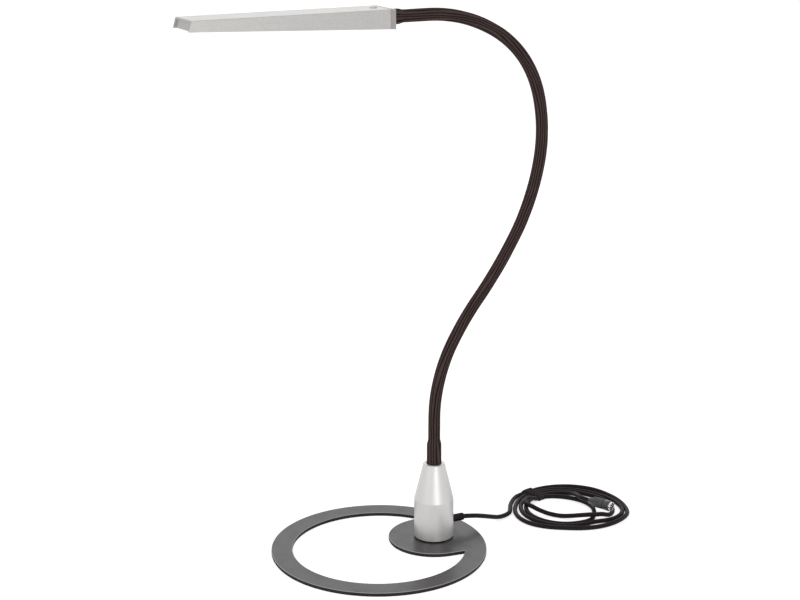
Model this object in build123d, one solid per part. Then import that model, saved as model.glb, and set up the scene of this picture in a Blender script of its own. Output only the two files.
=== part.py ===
from build123d import *
from math import ceil, cos, pi, radians, sin, sqrt, tan
import os

# Table lamp with a flexible arm. Millimetres, +Z up. The origin is where the column's axis meets the
# surface the lamp stands on. The arm bends over in the XZ plane and the head points to -X.

# How far a cutting shape runs past the face that it opens
cut_over = 1

# Base plate: a round plate with a round cut-out, and a disc on its rim that carries the column
base_radius = 108
ring_width = 21
disc_radius = 46
bridge_flare = 6
slot_tip_radius = 1
plate_thickness = 3
plate_chamfer = 0.4
liner_thickness = 1
liner_inset = 0.6

# Column
gasket_thickness = 0.8
gasket_inset = 0.7
column_radius = 20
cylinder_top = 45
column_top = 83
column_top_radius = 11
column_foot_chamfer = 0.6
column_rim_chamfer = 0.5
mouth_clearance = 0.5
mouth_depth = 13
seat_depth = 15
cavity_radius = 13

# Screws under the column
screw_radius = 2
screw_grip = 12
screw_head_radius = 3.75
screw_head_height = 1.6
screw_sink = 0.3
screw_count = 3
screw_first_angle = 60
screw_clearance = 0.2
tap_clearance = 0.05

# Arm: a ribbed sleeve over a stay-put gooseneck over the lamp's cable
sleeve_radius = 6
sleeve_wall = 1.1
gooseneck_clearance = 0.3
gooseneck_wall = 2.3
cable_clearance = 0.3
# Each link of the arm is an arc: its length, and how far it turns over towards +X. The ends are straight.
link_lengths = [47, 80, 50, 69, 84, 67, 83, 76, 44]
link_bends = [0, 29, 10, -8.5, -20.5, -25, -46, -29.5, 0]
hinge_travel = 34
hinge_spare = 2
hinge_gap = 0.15

# Ferrules: the crimped tubes at both ends of the sleeve
ferrule_radius = 7.4
ferrule_stem_radius = 5.6
ferrule_fit = 0.15
crimp_fit = 0.1
lower_ferrule_rise = 20.5
upper_ferrule_length = 13.3
ferrule_taper = 4.3
ferrule_grip = 20
upper_ferrule_grip = 14
grub_radius = 2
grub_drop = 8
grub_angle = 60
grub_cover = 1.5
stem_set_in = 2

# Cord in the column's foot
cord_diameter = 4.8
cord_height = 18.6
boot_radius = 3.85
boot_length = 14
boot_tip_radius = 3.2
boot_neck_radius = 3.1
boot_flange_radius = 4.6
boot_flange_thickness = 1.4
boot_rib_count = 4
boot_rib_depth = 0.35
boot_rib_width = 1.2
boot_first_groove = 1.44
bore_clearance = 0.1
inner_bend = 10
splice_radius = 4.5
splice_length = 14
splice_drop = 5

# Head: a channel that is open below, with its underside rising towards the tip
head_width = 42.6
head_top = 9.05
head_root_bottom = -9.2
head_tip_bottom = -0.65
head_length = 195.8
tip_lean = 3
head_end = -0.5
head_wall = 1.8
head_edge_chamfer = 0.4
cap_length = 5.1
cap_seam = 0.2
cap_spigot = 1.6
cap_fit = 0.15
spigot_rise = 1
stem_end_reach = 7.6
nut_width = 13.5
nut_thickness = 2.7
nut_clearance = 1.5
tip_inset = 1.8
tip_plate_thickness = 2
heat_bar_thickness = 3.2
heat_bar_half_width = 17
heat_bar_end_gap = 6
switch_bay_half_width = 10
switch_bay_end = 30
board_thickness = 1.5
board_half_width = 14
board_end_inset = 2
led_count = 24
led_size = 3
led_height = 0.8
led_margin = 6
diffuser_thickness = 2
diffuser_recess = 0.4
diffuser_start = 12
cap_screw_radius = 1.25
cap_screw_head_radius = 2.3
cap_screw_head_height = 1.4
cap_screw_spread = 14
cap_screw_length = 13
head_cable_reach = 28

# Power button on top of the head
button_radius = 3.25
button_place = 12.2
button_proud = 1
button_clearance = 0.25
button_flange = 1
button_flange_thickness = 0.8
button_travel = 0.8
button_stop_gap = 0.2
button_slack = 0.1
button_stem_radius = 1.2
switch_board_thickness = 1
switch_board_length = 18
switch_board_half_width = 8
switch_board_gap = 0.3
spring_radius = 2.6
spring_wire = 0.4

# Free cord: hand-chosen points from the boot to the coil, and from the coil to the connector
lead_points = [
    (47, 0, 18.6),
    (60, 3.4, 15),
    (72, 8, 8.4),
    (83, 12.6, 3.2),
    (94, 19.6, 2.4),
    (105, 31, 2.4),
    (118.5, 46.6, 2.4),
]
lead_last_run = 17
tail_first_run = 8.5
tail_points = [
    (171.6, 45.2, 2.4),
    (178.8, 41.2, 3),
    (183.4, 34.4, 4),
    (184.9, 26.4, 5.6),
    (183.2, 18.6, 7.8),
    (180.7, 11, 9.6),
    (180.1, 3, 10.6),
]
tail_last_run = 8

# Coil: for each turn, what the cord does a quarter turn apart, starting beside the tie. Each place has its
# distance from the coil's middle, how far it heads outwards in degrees, and how many cords deep it lies.
coil_middle = (161, 2)
tie_angle = 100
coil_places = [
    [(60, 6, 0), (59, -5, 0), (59.5, 0, 0), (58.5, 0, 0)],
    [(54.5, 6, 0), (53.5, -5, 0), (47, 0, 0), (52.8, 0, 0)],
    [(49, 6, 0), (48, -5, 0), (29, -26, 0), (32, 26, 0.3)],
    [(36.6, 3, 0), (21, 0, 0), (39, 0, 1.45), (47, 0, 0)],
]
coil_last_place = (42, 0, 0)
coil_last_angle = 105
coil_climb = 5.5
end_run = 4.8

# Tie round the bundle
tie_thickness = 1
tie_width = 6
tie_clearance = 0.3
tie_spare = 1
tie_lift = 0.05
tie_slack = 0.2
tie_set_in = 6
tie_angle_at = 97
tie_tail_length = 14

# Round connector
plug_heading = -57
plug_place = (186.2, -11.5)
plug_boot_length = 5
plug_boot_radius = 3.3
plug_boot_end_radius = 3.9
plug_radius = 5.75
plug_length = 12.4
plug_rest_gap = 0.15
plug_groove_depth = 0.5
plug_groove_width = 1.4
plug_groove_place = 3
plug_edge = 0.8
plug_shell_radius = 4.7
plug_shell_wall = 0.6
plug_shell_length = 3.8
plug_shell_seat = 3
plug_insert_recess = 1
pin_radius = 0.55
pin_circle = 2.4
pin_count = 4
pin_length = 3.6

# Worked out from the values above
cord_radius = cord_diameter / 2
hole_radius = base_radius - ring_width
plate_top = liner_thickness + plate_thickness
column_foot = plate_top + gasket_thickness
ring_middle = disc_radius - base_radius
gooseneck_radius = sleeve_radius - sleeve_wall - gooseneck_clearance
gooseneck_bore = gooseneck_radius - gooseneck_wall
cable_radius = gooseneck_bore - cable_clearance
mouth_radius = ferrule_radius + mouth_clearance
mouth_floor = column_top - mouth_depth
cavity_top = mouth_floor - seat_depth
screw_circle = (column_radius + cavity_radius) / 2
splice_top = cavity_top - splice_drop
splice_bottom = splice_top - splice_length
link_count = len(link_lengths)
boot_end = column_radius + boot_length
head_inner_half = head_width / 2 - head_wall
head_inner_top = head_top - head_wall
cap_inner_face = head_end + cap_length
housing_start = cap_inner_face + cap_seam
bar_bottom = head_inner_top - heat_bar_thickness
board_bottom = bar_bottom - board_thickness
switch_board_bottom = cable_radius + switch_board_gap
switch_board_top = switch_board_bottom + switch_board_thickness
button_flange_top = head_inner_top - button_slack
button_flange_bottom = button_flange_top - button_flange_thickness
spring_top = button_flange_bottom - button_travel - button_slack
plug_axis_height = cord_diameter + plug_radius + plug_rest_gap
parts = {}


def cylinder_x(radius, start, end):
    """Round bar along X."""
    return Plane.YZ.offset(start) * extrude(Circle(radius), end - start)


def cylinder_z(radius, bottom, top, x=0, y=0):
    """Round bar along Z."""
    return Pos(x, y, bottom) * extrude(Circle(radius), top - bottom)


def block(x0, x1, y0, y1, z0, z1):
    """Box between two corners."""
    return Pos((x0 + x1) / 2, (y0 + y1) / 2, (z0 + z1) / 2) * Box(x1 - x0, y1 - y0, z1 - z0)


def turned(points):
    """Solid of revolution about Z from (radius, height) points."""
    outline = make_face(Polyline(*[(r, 0, z) for r, z in points], close=True))
    return revolve(outline, Axis.Z)


def side_profile(points, half_width):
    """Prism across Y from (x, z) points."""
    outline = make_face(Polyline(*[(x, 0, z) for x, z in points], close=True))
    return extrude(outline, half_width, both=True)


def direction(angle):
    """Unit vector in the arm's plane, at this angle from +Z towards +X."""
    return Vector(sin(radians(angle)), 0, cos(radians(angle)))


# Arm geometry: the places where the links meet, and the arm's heading there
joint_points = [Vector(0, 0, column_top)]
headings = [0.0]
for length, bend in zip(link_lengths, link_bends):
    half = radians(bend) / 2
    chord = length * sin(half) / half if bend else length
    joint_points.append(joint_points[-1] + direction(headings[-1] + bend / 2) * chord)
    headings.append(headings[-1] + bend)


def hinge_axis(k):
    """Axis of the hinge below link k: in turn across the arch and in its plane."""
    if k % 4 in (1, 3):
        return Vector(0, 1 if k % 4 == 1 else -1, 0)
    return direction(headings[k] + 90) * (1 if k % 4 == 2 else -1)


def hinge_cut(k, side):
    """What a link loses at the hinge below link k, so that it can swing. Side is 1 above and -1 below."""
    way = direction(headings[k]) * side
    axis = hinge_axis(k)
    plane = Plane(origin=joint_points[k], x_dir=way.cross(axis), z_dir=axis)
    reach = 2.5 * sleeve_radius
    rise = hinge_gap + reach * tan(radians((hinge_travel + hinge_spare) / 2))
    outline = [(0, hinge_gap), (reach, rise), (reach, -reach), (-reach, -reach), (-reach, rise)]
    return plane * extrude(make_face(Polyline(*outline, close=True)), reach, both=True)


def link_tube(k, outer, bore, before=0.0, after=0.0):
    """Tube along link k, cut back at its hinges. The first and last links can start and end elsewhere."""
    start = joint_points[k] + direction(headings[k]) * (before if k == 0 else 0)
    end = joint_points[k + 1] + direction(headings[k + 1]) * (after if k == link_count - 1 else 0)
    path = TangentArc(start, end, tangent=direction(headings[k])) if link_bends[k] else Line(start, end)
    ring = Circle(outer) - Circle(bore) if bore else Circle(outer)
    tube = sweep(Plane(origin=start, x_dir=(0, 1, 0), z_dir=direction(headings[k])) * ring, path)
    if k > 0:
        tube -= hinge_cut(k, 1)
    if k < link_count - 1:
        tube -= hinge_cut(k + 1, -1)
    return tube


head_plane = Plane(
    origin=joint_points[-1],
    x_dir=direction(headings[-1]),
    z_dir=direction(headings[-1] + 90),
)


# Base
def plate_face(inset):
    """Outline of the base plate, drawn in by an inset all round."""
    foot = disc_radius - inset
    angle = radians(90 + bridge_flare)
    corner = (foot * cos(angle), foot * sin(angle))
    flare = radians(bridge_flare)
    far = (corner[0] + base_radius * cos(flare), corner[1] + base_radius * sin(flare))
    bridge = make_face(Polyline(corner, far, (far[0], -far[1]), (corner[0], -corner[1]), close=True))
    opening = Pos(ring_middle, 0) * Circle(hole_radius + inset) - Circle(foot) - bridge
    tips = opening.vertices().sort_by(Axis.X)[-2:]
    opening = fillet(tips, slot_tip_radius)
    return Pos(ring_middle, 0) * Circle(base_radius - inset) - opening


def screw_places():
    """Screw centres under the column."""
    angles = [radians(screw_first_angle + 360 * i / screw_count) for i in range(screw_count)]
    return [(screw_circle * cos(a), screw_circle * sin(a)) for a in angles]


head_seat = screw_sink + screw_head_height
screw_top = column_foot + screw_grip
plate = Pos(0, 0, liner_thickness) * extrude(plate_face(0), plate_thickness)
top_edges = plate.faces().sort_by(Axis.Z)[-1].edges()
plate = chamfer(top_edges, plate_chamfer)
liner = extrude(plate_face(liner_inset), liner_thickness)
screws = []
for x, y in screw_places():
    plate -= cylinder_z(screw_radius + screw_clearance, 0, plate_top, x, y)
    recess = cylinder_z(screw_head_radius + screw_clearance, 0, head_seat + screw_clearance, x, y)
    plate -= recess
    liner -= recess
    head = cylinder_z(screw_head_radius, screw_sink, head_seat, x, y)
    screws.append(head + cylinder_z(screw_radius, head_seat, screw_top, x, y))
gasket = cylinder_z(column_radius - gasket_inset, plate_top, column_foot) - cylinder_z(
    cavity_radius, plate_top, column_foot
)
for x, y in screw_places():
    gasket -= cylinder_z(screw_radius + screw_clearance, plate_top, column_foot, x, y)
parts["base_plate"] = plate
parts["base_liner"] = liner
parts["column_gasket"] = gasket
parts["column_screws"] = screws


# Column
seat_radius = ferrule_stem_radius + ferrule_fit
rim_inner = column_top_radius - column_rim_chamfer
column = turned(
    [
        (cavity_radius, column_foot),
        (column_radius - column_foot_chamfer, column_foot),
        (column_radius, column_foot + column_foot_chamfer),
        (column_radius, cylinder_top),
        (column_top_radius, column_top - column_rim_chamfer),
        (rim_inner, column_top),
        (mouth_radius, column_top),
        (mouth_radius, mouth_floor),
        (seat_radius, mouth_floor),
        (seat_radius, cavity_top),
        (cavity_radius, cavity_top),
    ]
)
for x, y in screw_places():
    column -= cylinder_z(screw_radius + tap_clearance, column_foot, screw_top + cut_over, x, y)
grub_height = mouth_floor - grub_drop
cone_slope = (column_radius - column_top_radius) / (column_top - cylinder_top)
grub_outer = column_radius - (grub_height - cylinder_top) * cone_slope - grub_cover
grub_turn = Rot(0, 0, grub_angle) * Pos(0, 0, grub_height)
column -= grub_turn * cylinder_x(grub_radius + tap_clearance, 0, column_radius)
boot_hole = cylinder_x(boot_neck_radius + bore_clearance, 0, column_radius + cut_over)
column -= Pos(0, 0, cord_height) * boot_hole
parts["column_shell"] = column
parts["ferrule_screw"] = grub_turn * cylinder_x(grub_radius, ferrule_stem_radius + ferrule_fit, grub_outer)


def ferrule(stem_end, shoulder, bulge_end, grip):
    """Crimped tube along Z: a stem up to the shoulder, then a wider part that holds the sleeve."""
    tip = bulge_end + ferrule_taper
    body = turned(
        [
            (gooseneck_radius + crimp_fit, stem_end),
            (ferrule_stem_radius, stem_end),
            (ferrule_stem_radius, shoulder),
            (ferrule_radius, shoulder),
            (ferrule_radius, bulge_end),
            (sleeve_radius + 2 * crimp_fit, tip),
            (sleeve_radius + crimp_fit, tip),
            (sleeve_radius + crimp_fit, tip - grip),
            (gooseneck_radius + crimp_fit, tip - grip),
        ]
    )
    return body


lower_bulge_end = column_top + lower_ferrule_rise
lower_tip = lower_bulge_end + ferrule_taper
lower_stem_end = cavity_top + stem_set_in
parts["lower_ferrule"] = ferrule(lower_stem_end, mouth_floor, lower_bulge_end, ferrule_grip)
upper_tip = upper_ferrule_length + ferrule_taper
upper = ferrule(-stem_end_reach, -head_end, upper_ferrule_length, upper_ferrule_grip)
parts["upper_ferrule"] = head_plane * (Rot(0, -90, 0) * upper)

# Arm links. The first is held by the column and the last by the head.
first_sleeve = lower_tip - ferrule_grip + crimp_fit - column_top
last_sleeve = -(upper_tip - upper_ferrule_grip + crimp_fit)
for k in range(link_count):
    parts[f"sleeve_{k + 1}"] = link_tube(
        k, sleeve_radius, sleeve_radius - sleeve_wall, first_sleeve, last_sleeve
    )
    parts[f"conduit_{k + 1}"] = link_tube(
        k, gooseneck_radius, gooseneck_bore, lower_stem_end - column_top, stem_end_reach
    )
    parts[f"arm_cable_{k + 1}"] = link_tube(k, cable_radius, 0, splice_top - column_top, head_cable_reach)


# Cord inside the column
flange_outer = sqrt(cavity_radius**2 - boot_flange_radius**2) - bore_clearance
flange_inner = flange_outer - boot_flange_thickness
boot = cylinder_x(boot_neck_radius, flange_outer, column_radius)
boot += cylinder_x(boot_flange_radius, flange_inner, flange_outer)
boot += Plane.XZ * revolve(
    make_face(
        Polyline(
            (column_radius, 0),
            (column_radius, boot_radius),
            (boot_end - boot_radius, boot_radius),
            (boot_end, boot_tip_radius),
            (boot_end, 0),
            close=True,
        )
    ),
    Axis.X,
)
for i in range(boot_rib_count):
    start = column_radius + boot_first_groove + 2 * boot_rib_width * i
    groove = cylinder_x(boot_radius + cut_over, start, start + boot_rib_width)
    boot -= groove - cylinder_x(boot_radius - boot_rib_depth, start, start + boot_rib_width)
boot -= cylinder_x(cord_radius + bore_clearance, flange_inner, boot_end)
parts["cord_boot"] = Pos(0, 0, cord_height) * boot

inner_path = FilletPolyline(
    (boot_end, 0, cord_height),
    (0, 0, cord_height),
    (0, 0, splice_bottom),
    radius=inner_bend,
)
inner_start = Plane(origin=inner_path @ 0, z_dir=inner_path % 0)
parts["cord_inner"] = sweep(inner_start * Circle(cord_radius), inner_path)
parts["wire_splice"] = cylinder_z(splice_radius, splice_bottom, splice_top)


# Head
def underside(reach):
    """Height of the head's lower edge at this distance from the arm."""
    share = (reach - head_end) / (head_length + tip_lean - head_end)
    return head_root_bottom + share * (head_tip_bottom - head_root_bottom)


def tip_reach(height, inset=0.0):
    """Distance from the arm to the leaning tip face, or to a plane inset from it."""
    share = (head_top - height) / (head_top - head_tip_bottom)
    return head_length + share * tip_lean - inset


def head_bar(start, lower, top, inset, half_width):
    """Bar along the head with its top and its underside set in, cut square at the start."""
    bottom_end = tip_reach(head_tip_bottom + lower, inset)
    return side_profile(
        [
            (start, underside(start) + lower),
            (bottom_end, underside(bottom_end) + lower),
            (tip_reach(top, inset), top),
            (start, top),
        ],
        half_width,
    )


housing = head_bar(housing_start, 0, head_top, 0, head_width / 2)
long_edges = housing.edges().filter_by(Axis.X).group_by(Axis.Z)[-1]
housing = chamfer(long_edges, head_edge_chamfer)
below = head_root_bottom - head_top
beyond = head_length + abs(tip_lean) + cut_over
housing -= side_profile(
    [
        (housing_start - cut_over, below),
        (beyond, below),
        (beyond, head_inner_top),
        (housing_start - cut_over, head_inner_top),
    ],
    head_inner_half,
)
button_hole = cylinder_z(button_radius + button_clearance, 0, head_top + cut_over, button_place)
housing -= button_hole
parts["head_housing"] = head_plane * housing

fitted_half = head_inner_half - cap_fit
fitted_top = head_inner_top - cap_fit
tip_bottom = head_tip_bottom + diffuser_recess
tip = side_profile(
    [
        (tip_reach(tip_bottom, tip_inset), tip_bottom),
        (tip_reach(fitted_top, tip_inset), fitted_top),
        (tip_reach(fitted_top, tip_inset + tip_plate_thickness), fitted_top),
        (tip_reach(tip_bottom, tip_inset + tip_plate_thickness), tip_bottom),
    ],
    fitted_half,
)
parts["tip_plate"] = head_plane * tip

diffuser_end_inset = tip_inset + tip_plate_thickness + cap_fit
light_start = underside(diffuser_start) + diffuser_recess
light_end = tip_reach(head_tip_bottom, diffuser_end_inset)
light_end_height = underside(light_end) + diffuser_recess
light = side_profile(
    [
        (diffuser_start, light_start),
        (light_end, light_end_height),
        (
            tip_reach(head_tip_bottom + diffuser_thickness, diffuser_end_inset),
            light_end_height + diffuser_thickness,
        ),
        (diffuser_start, light_start + diffuser_thickness),
    ],
    fitted_half,
)
parts["diffuser"] = head_plane * light

bar_end = tip_reach(fitted_top, tip_inset + tip_plate_thickness + heat_bar_end_gap)
bar_start = cap_inner_face + cap_spigot + cap_seam
bar = block(bar_start, bar_end, -heat_bar_half_width, heat_bar_half_width, bar_bottom, head_inner_top)
bar -= block(
    bar_start - cut_over,
    switch_bay_end,
    -switch_bay_half_width,
    switch_bay_half_width,
    bar_bottom - cut_over,
    head_inner_top + cut_over,
)
board_start = switch_bay_end + board_end_inset
board_end = bar_end - board_end_inset
board = block(board_start, board_end, -board_half_width, board_half_width, board_bottom, bar_bottom)
led_pitch = (board_end - board_start - 2 * led_margin) / (led_count - 1)
led_places = [board_start + led_margin + i * led_pitch for i in range(led_count)]
led_half = led_size / 2
lights = [
    block(x - led_half, x + led_half, -led_half, led_half, board_bottom - led_height, board_bottom)
    for x in led_places
]
parts["led_board"] = head_plane * board
parts["leds"] = [head_plane * piece for piece in lights]

cap = head_bar(head_end, 0, head_top, 0, head_width / 2)
cap -= block(cap_inner_face, beyond, -head_width, head_width, below, 2 * head_top)
spigot_bottom = underside(cap_inner_face) + diffuser_recess
cap += block(
    cap_inner_face,
    cap_inner_face + cap_spigot,
    -fitted_half,
    fitted_half,
    spigot_bottom + spigot_rise,
    fitted_top,
)
nut_pocket = nut_width / 2 + nut_clearance
pocket_end = cap_inner_face + cap_spigot + cut_over
cap -= block(cap_inner_face, pocket_end, -nut_pocket, nut_pocket, below, head_inner_top + cut_over)
cap -= cylinder_x(seat_radius, head_end - cut_over, cap_inner_face + cut_over)
cap_screw_height = (bar_bottom + head_inner_top) / 2
screw_shoulder = head_end + cap_screw_head_height
cap_screw_end = head_end + cap_screw_length
cap_screws = []
for side in (-1, 1):
    at = Pos(0, side * cap_screw_spread, cap_screw_height)
    cap -= at * cylinder_x(cap_screw_radius + screw_clearance, head_end, bar_start)
    cap -= at * cylinder_x(cap_screw_head_radius + screw_clearance, head_end, screw_shoulder)
    bar -= at * cylinder_x(cap_screw_radius + tap_clearance, bar_start, cap_screw_end + cut_over)
    screw = cylinder_x(cap_screw_head_radius, head_end, screw_shoulder)
    screw += cylinder_x(cap_screw_radius, screw_shoulder, cap_screw_end)
    cap_screws.append(head_plane * (at * screw))
parts["rear_cap"] = head_plane * cap
parts["heat_bar"] = head_plane * bar
parts["cap_screws"] = cap_screws

hexagon = RegularPolygon(nut_width / 2, 6, major_radius=False)
nut = Plane.YZ.offset(cap_inner_face) * extrude(hexagon, nut_thickness)
nut -= cylinder_x(ferrule_stem_radius + tap_clearance, cap_inner_face, cap_inner_face + nut_thickness)
parts["arm_nut"] = head_plane * nut

# Power button with its return spring and switch board
button = cylinder_z(button_radius, button_flange_top, head_top + button_proud, button_place)
button += cylinder_z(button_radius + button_flange, button_flange_bottom, button_flange_top, button_place)
stem_bottom = switch_board_top + button_travel + button_stop_gap
button += cylinder_z(button_stem_radius, stem_bottom, button_flange_bottom, button_place)
parts["power_button"] = head_plane * button
spring = cylinder_z(spring_radius, switch_board_top, spring_top, button_place)
spring -= cylinder_z(spring_radius - spring_wire, switch_board_top, spring_top, button_place)
parts["button_spring"] = head_plane * spring
switch_start = button_place - button_radius
parts["switch_board"] = head_plane * block(
    switch_start,
    switch_start + switch_board_length,
    -switch_board_half_width,
    switch_board_half_width,
    switch_board_bottom,
    switch_board_top,
)


# Free cord
def coil_place(angle, place):
    """Point and heading of the cord at this angle round the coil's middle. It winds clockwise."""
    distance, outwards, depth = place
    a = radians(angle)
    x = coil_middle[0] + distance * cos(a)
    y = coil_middle[1] + distance * sin(a)
    point = Vector(x, y, cord_radius + coil_climb * depth)
    h = a - pi / 2 + radians(outwards)
    return point, Vector(cos(h), sin(h), 0)


def biarc_middle(p0, t0, p1, t1):
    """Where two tangent arcs from one place to the next meet."""
    v = p1 - p0
    t = t0 + t1
    spread = 2 * (1 - t0.dot(t1))
    reach = (sqrt(v.dot(t) ** 2 + spread * v.dot(v)) - v.dot(t)) / spread
    return (p0 + p1 + (t0 - t1) * reach) * 0.5


def arc_radius(p0, t0, p1):
    """Radius of the arc that leaves p0 along t0 and ends at p1."""
    chord = p1 - p0
    return chord.length / 2 / sin(radians(t0.get_angle(chord)))


def cord_tube(path):
    """Round cord along a path."""
    return sweep(Plane(origin=path @ 0, z_dir=path % 0) * Circle(cord_radius), path)


places = [
    coil_place(tie_angle - 90 * quarter, place)
    for turn in coil_places
    for quarter, place in enumerate(turn)
]
places.append(coil_place(coil_last_angle, coil_last_place))
coil_start = places[0][0] - places[0][1] * end_run
coil_end = places[-1][0] + places[-1][1] * end_run
coil_edges = [Line(coil_start, places[0][0])]
coil_radii = []
for (p0, t0), (p1, t1) in zip(places, places[1:]):
    middle = biarc_middle(p0, t0, p1, t1)
    chord = (middle - p0).normalized()
    turn_at = chord * (2 * t0.dot(chord)) - t0
    coil_edges.append(TangentArc(p0, middle, tangent=t0))
    coil_edges.append(TangentArc(middle, p1, tangent=turn_at))
    coil_radii += [arc_radius(p0, t0, middle), arc_radius(middle, turn_at, p1)]
coil_edges.append(Line(places[-1][0], coil_end))
coil_path = Wire([edge if isinstance(edge, Edge) else edge.edge() for edge in coil_edges])
parts["cord_coil"] = cord_tube(coil_path)


def corner_radii(points):
    """Radius at each corner of a route, as large as its two runs allow."""
    radii = []
    for a, b, c in zip(points, points[1:], points[2:]):
        first = Vector(b) - Vector(a)
        second = Vector(c) - Vector(b)
        half_turn = radians(first.get_angle(second)) / 2
        radii.append(0.45 * min(first.length, second.length) / tan(half_turn))
    return radii


def cord_route(name, points):
    """Cord along straight runs joined by tangent arcs."""
    radii = corner_radii(points)
    path = FilletPolyline(*points, radius=radii)
    tube = cord_tube(path)
    section = pi * cord_radius**2
    print(name, "length", round(path.length, 1), "radii", [round(r, 1) for r in radii])
    print(name, "volume over section times length", round(tube.volume / section / path.length, 5))
    parts[name] = tube
    return path


plug_way = Vector(cos(radians(plug_heading)), sin(radians(plug_heading)), 0)
plug_start = Vector(plug_place[0], plug_place[1], plug_axis_height)
lead_before = coil_start - places[0][1] * lead_last_run
lead_route = [(boot_end, 0, cord_height)] + lead_points + [lead_before, coil_start]
tail_first = coil_end + places[-1][1] * tail_first_run
tail_before = plug_start - plug_way * tail_last_run
tail_route = [coil_end, tail_first] + tail_points + [tail_before, plug_start]
lead_path = cord_route("cord_lead", lead_route)
tail_path = cord_route("cord_tail", tail_route)


def least_gap(paths):
    """Least gap between stretches of cord that lie more than 30 mm apart along it."""
    step = 1.5
    samples = []
    along = 0
    for path in paths:
        count = ceil(path.length / step)
        for i in range(count):
            point = path @ (i / count)
            samples.append((along + path.length * i / count, point.X, point.Y, point.Z))
        along += path.length
    least = 1000
    for i, (s, x, y, z) in enumerate(samples):
        for s2, x2, y2, z2 in samples[i:]:
            if s2 - s > 30:
                least = min(least, (x2 - x) ** 2 + (y2 - y) ** 2 + (z2 - z) ** 2)
    return sqrt(least) - cord_diameter


coil_volume = pi * cord_radius**2 * coil_path.length
print("coil length", round(coil_path.length, 1), "least radius", round(min(coil_radii), 1))
print("coil volume over section times length", round(parts["cord_coil"].volume / coil_volume, 5))
print("coil least gap to itself", round(least_gap([coil_path]), 2))
print("whole cord least gap to itself", round(least_gap([lead_path, coil_path, tail_path]), 2))

# Tie: a flat loop round the cords that lie side by side, with its end lying on them
tie_turn = radians(tie_angle_at)
tie_inner = min(place[0][0] for place in coil_places) - cord_radius - tie_clearance - tie_spare
tie_outer = coil_places[0][0][0] + cord_radius + tie_clearance + tie_spare
tie_under = cord_diameter + tie_clearance + tie_slack
tie_top = tie_under + tie_thickness
tie_half = tie_width / 2
loop = block(tie_inner - tie_thickness, tie_outer + tie_thickness, -tie_half, tie_half, tie_lift, tie_top)
loop -= block(tie_inner, tie_outer, -tie_width, tie_width, tie_lift - cut_over, tie_under)
strap_end = tie_outer - tie_set_in
strap_start = strap_end - tie_width
strap = block(strap_start, strap_end, -tie_half - tie_tail_length, tie_half, tie_under, tie_top)
tie = Pos(coil_middle[0], coil_middle[1], 0) * (Rot(0, 0, tie_angle_at) * (loop + strap))
parts["coil_tie"] = tie


# Connector, built along X and laid on the surface
def plug_piece(points):
    """Turned piece of the connector from (distance, radius) points."""
    return revolve(make_face(Polyline(*points, close=True)), Axis.X)


plug_plane = Plane(origin=plug_start, x_dir=plug_way, z_dir=(0, 0, 1))
face = plug_boot_length + plug_length
groove = plug_boot_length + plug_groove_place
parts["plug_boot"] = plug_plane * plug_piece(
    [(0, 0), (0, plug_boot_radius), (plug_boot_length, plug_boot_end_radius), (plug_boot_length, 0)]
)
shell_seat = face - plug_shell_seat
parts["plug_body"] = plug_plane * plug_piece(
    [
        (plug_boot_length, 0),
        (plug_boot_length, plug_radius - plug_edge),
        (plug_boot_length + plug_edge, plug_radius),
        (groove, plug_radius),
        (groove, plug_radius - plug_groove_depth),
        (groove + plug_groove_width, plug_radius - plug_groove_depth),
        (groove + plug_groove_width, plug_radius),
        (face, plug_radius),
        (face, plug_shell_radius + tap_clearance),
        (shell_seat, plug_shell_radius + tap_clearance),
        (shell_seat, 0),
    ]
)
shell_bore = plug_shell_radius - plug_shell_wall
shell_end = face + plug_shell_length
parts["plug_shell"] = plug_plane * plug_piece(
    [
        (shell_seat, shell_bore),
        (shell_seat, plug_shell_radius),
        (shell_end, plug_shell_radius),
        (shell_end, shell_bore),
    ]
)
insert = plug_piece(
    [
        (shell_seat, 0),
        (shell_seat, shell_bore - tap_clearance),
        (face - plug_insert_recess, shell_bore - tap_clearance),
        (face - plug_insert_recess, 0),
    ]
)
pins = []
for i in range(pin_count):
    a = 2 * pi * (i + 0.5) / pin_count
    at = Pos(0, pin_circle * cos(a), pin_circle * sin(a))
    insert -= at * cylinder_x(pin_radius + tap_clearance, shell_seat, face)
    pins.append(plug_plane * (at * cylinder_x(pin_radius, shell_seat, shell_seat + pin_length)))
parts["plug_insert"] = plug_plane * insert
parts["plug_pins"] = pins

# Write every piece under its own name
os.makedirs("parts", exist_ok=True)
for name, shape in parts.items():
    solids = shape if isinstance(shape, list) else [shape]
    solids = [solid for piece in solids for solid in piece.solids()]
    whole = solids[0] if len(solids) == 1 else Compound(children=solids)
    export_step(whole, f"parts/{name}.step")

for k in range(1, link_count):
    print("hinge", k, [round(v, 4) for v in joint_points[k]], [round(v, 6) for v in hinge_axis(k)])
down = head_plane.z_dir * -1
print("button axis", [round(v, 6) for v in down])
button_top = head_plane.from_local_coords(Vector(button_place, 0, head_top))
print("button place", [round(v, 3) for v in button_top])
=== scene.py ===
import math

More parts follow.
